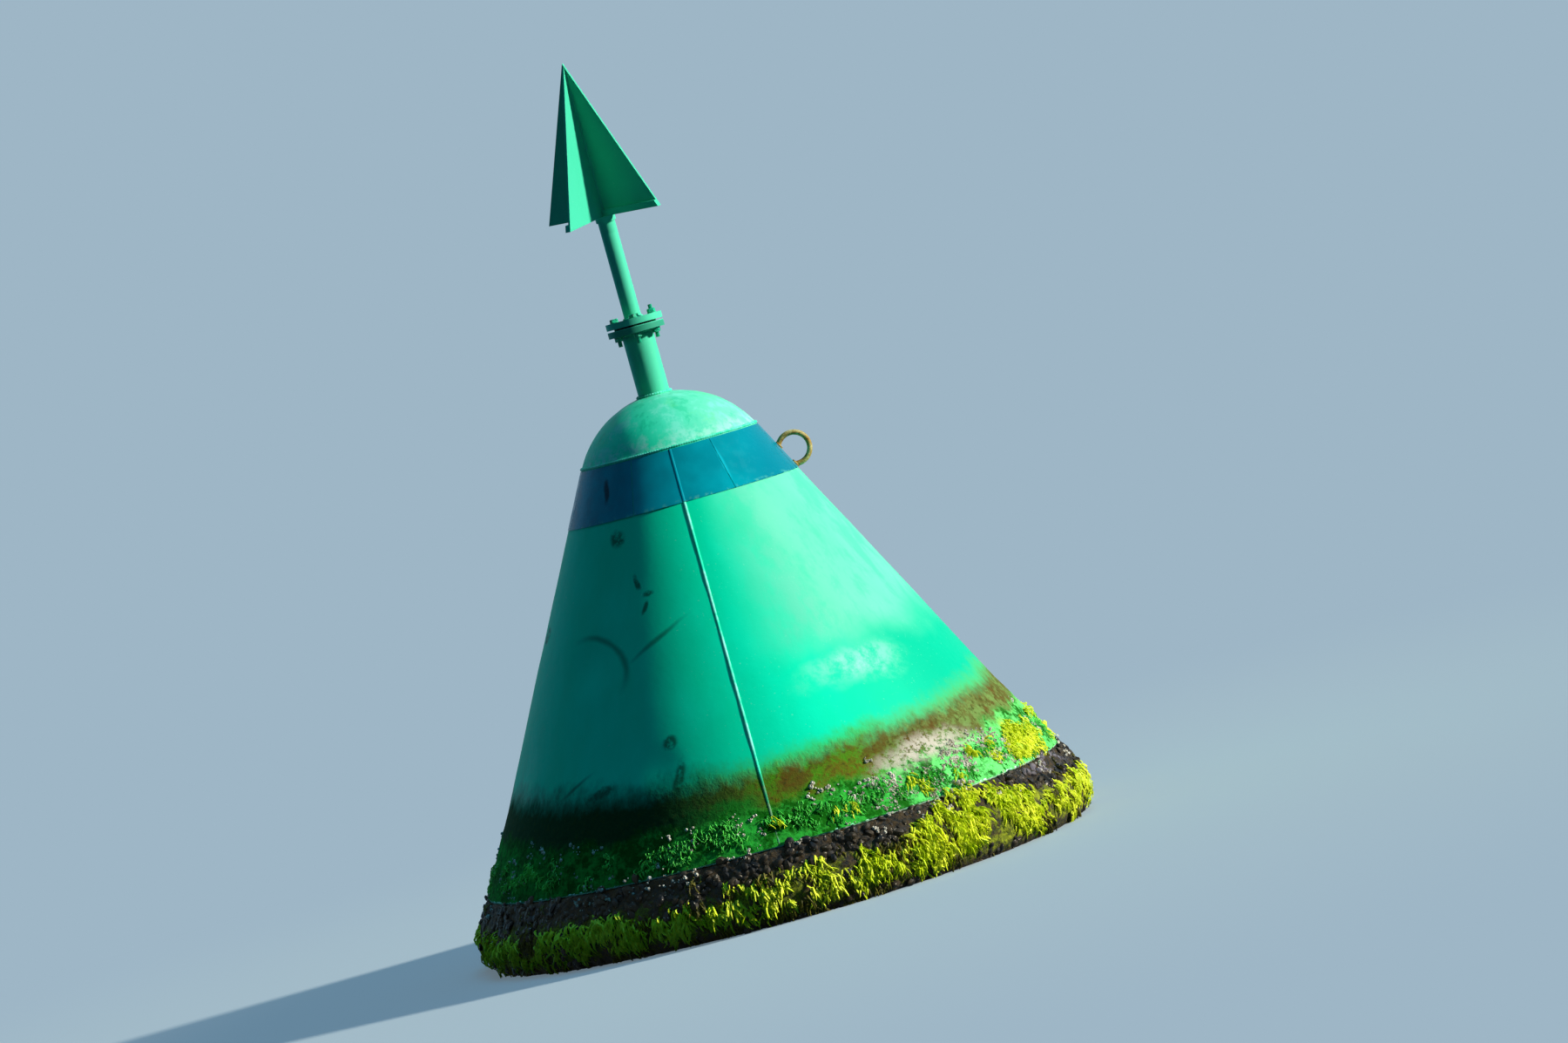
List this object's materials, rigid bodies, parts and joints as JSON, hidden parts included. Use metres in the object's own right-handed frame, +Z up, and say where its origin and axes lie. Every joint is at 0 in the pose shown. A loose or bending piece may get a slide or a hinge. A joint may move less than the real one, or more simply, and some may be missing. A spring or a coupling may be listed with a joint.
{
  "type": "conical navigation buoy",
  "caption": "Unlit steel lateral buoy: conical hull with round head, bolted mast and crossed-plate cone topmark, ballasted tail, lifting eye, bridle lugs and mooring shackle.",
  "frame": {"origin": "on the hull's axis at the waterline", "axes": "+Z up the hull's axis; -Y is the side of the plate seam, +X the side of the lifting eye"},
  "size_m": [1.7174, 1.7174, 3.4504],
  "materials": {
    "green_paint": "sun-bleached gloss marine paint with scuffs and rust stains",
    "reflective_sheet": "glossy reflective sheet in strips",
    "eye_paint": "worn cream paint with rust",
    "gasket_rubber": "matte",
    "fouled_paint": "antifouling under weed, mussels and barnacles",
    "bottom_paint": "matte antifouling",
    "ballast_iron": "rough casting, rusty",
    "anode_zinc": "pitted zinc",
    "galvanised_steel": "galvanised, rust-stained"
  },
  "bodies": {
    "hull": {"dome_head": "green_paint", "cone_shell": "green_paint", "cone_seam": "green_paint", "reflective_band": "reflective_sheet", "girth_belt": "fouled_paint", "knuckle_ring": "fouled_paint", "bottom_dish": "bottom_paint", "mast_stub": "green_paint", "stub_flange": "green_paint", "flange_gasket": "gasket_rubber", "pole_flange": "green_paint", "mast_pole": "green_paint", "pole_top": "green_paint", "topmark_collar": "green_paint", "topmark_plate": "green_paint", "topmark_wing_front": "green_paint", "topmark_wing_back": "green_paint", "topmark_bar_1": "green_paint", "topmark_bar_2": "green_paint", "topmark_bar_3": "green_paint", "topmark_bar_4": "green_paint", "lifting_eye": "eye_paint", "tail_tube": "bottom_paint", "tail_gussets": "bottom_paint", "clamp_ring": "bottom_paint", "ballast_disc_1": "ballast_iron", "ballast_disc_2": "ballast_iron", "ballast_disc_3": "ballast_iron", "tail_end_plate": "bottom_paint", "ballast_studs": "galvanised_steel", "mooring_lug": "galvanised_steel", "bridle_lug_left": "bottom_paint", "bridle_lug_right": "bottom_paint", "anode_1": "anode_zinc", "anode_2": "anode_zinc", "anode_3": "anode_zinc", "anode_4": "anode_zinc"},
    "mooring_shackle": {"shackle_bow": "galvanised_steel", "shackle_pin": "galvanised_steel", "shackle_nut": "galvanised_steel"}
  },
  "joints": [
    {"name": "shackle_swing", "type": "hinge", "parent": "hull", "child": "mooring_shackle", "pos_m": [0, 0, -0.9537], "axis": [0, 1, 0], "range_deg": [-80, 80]}
  ]
}
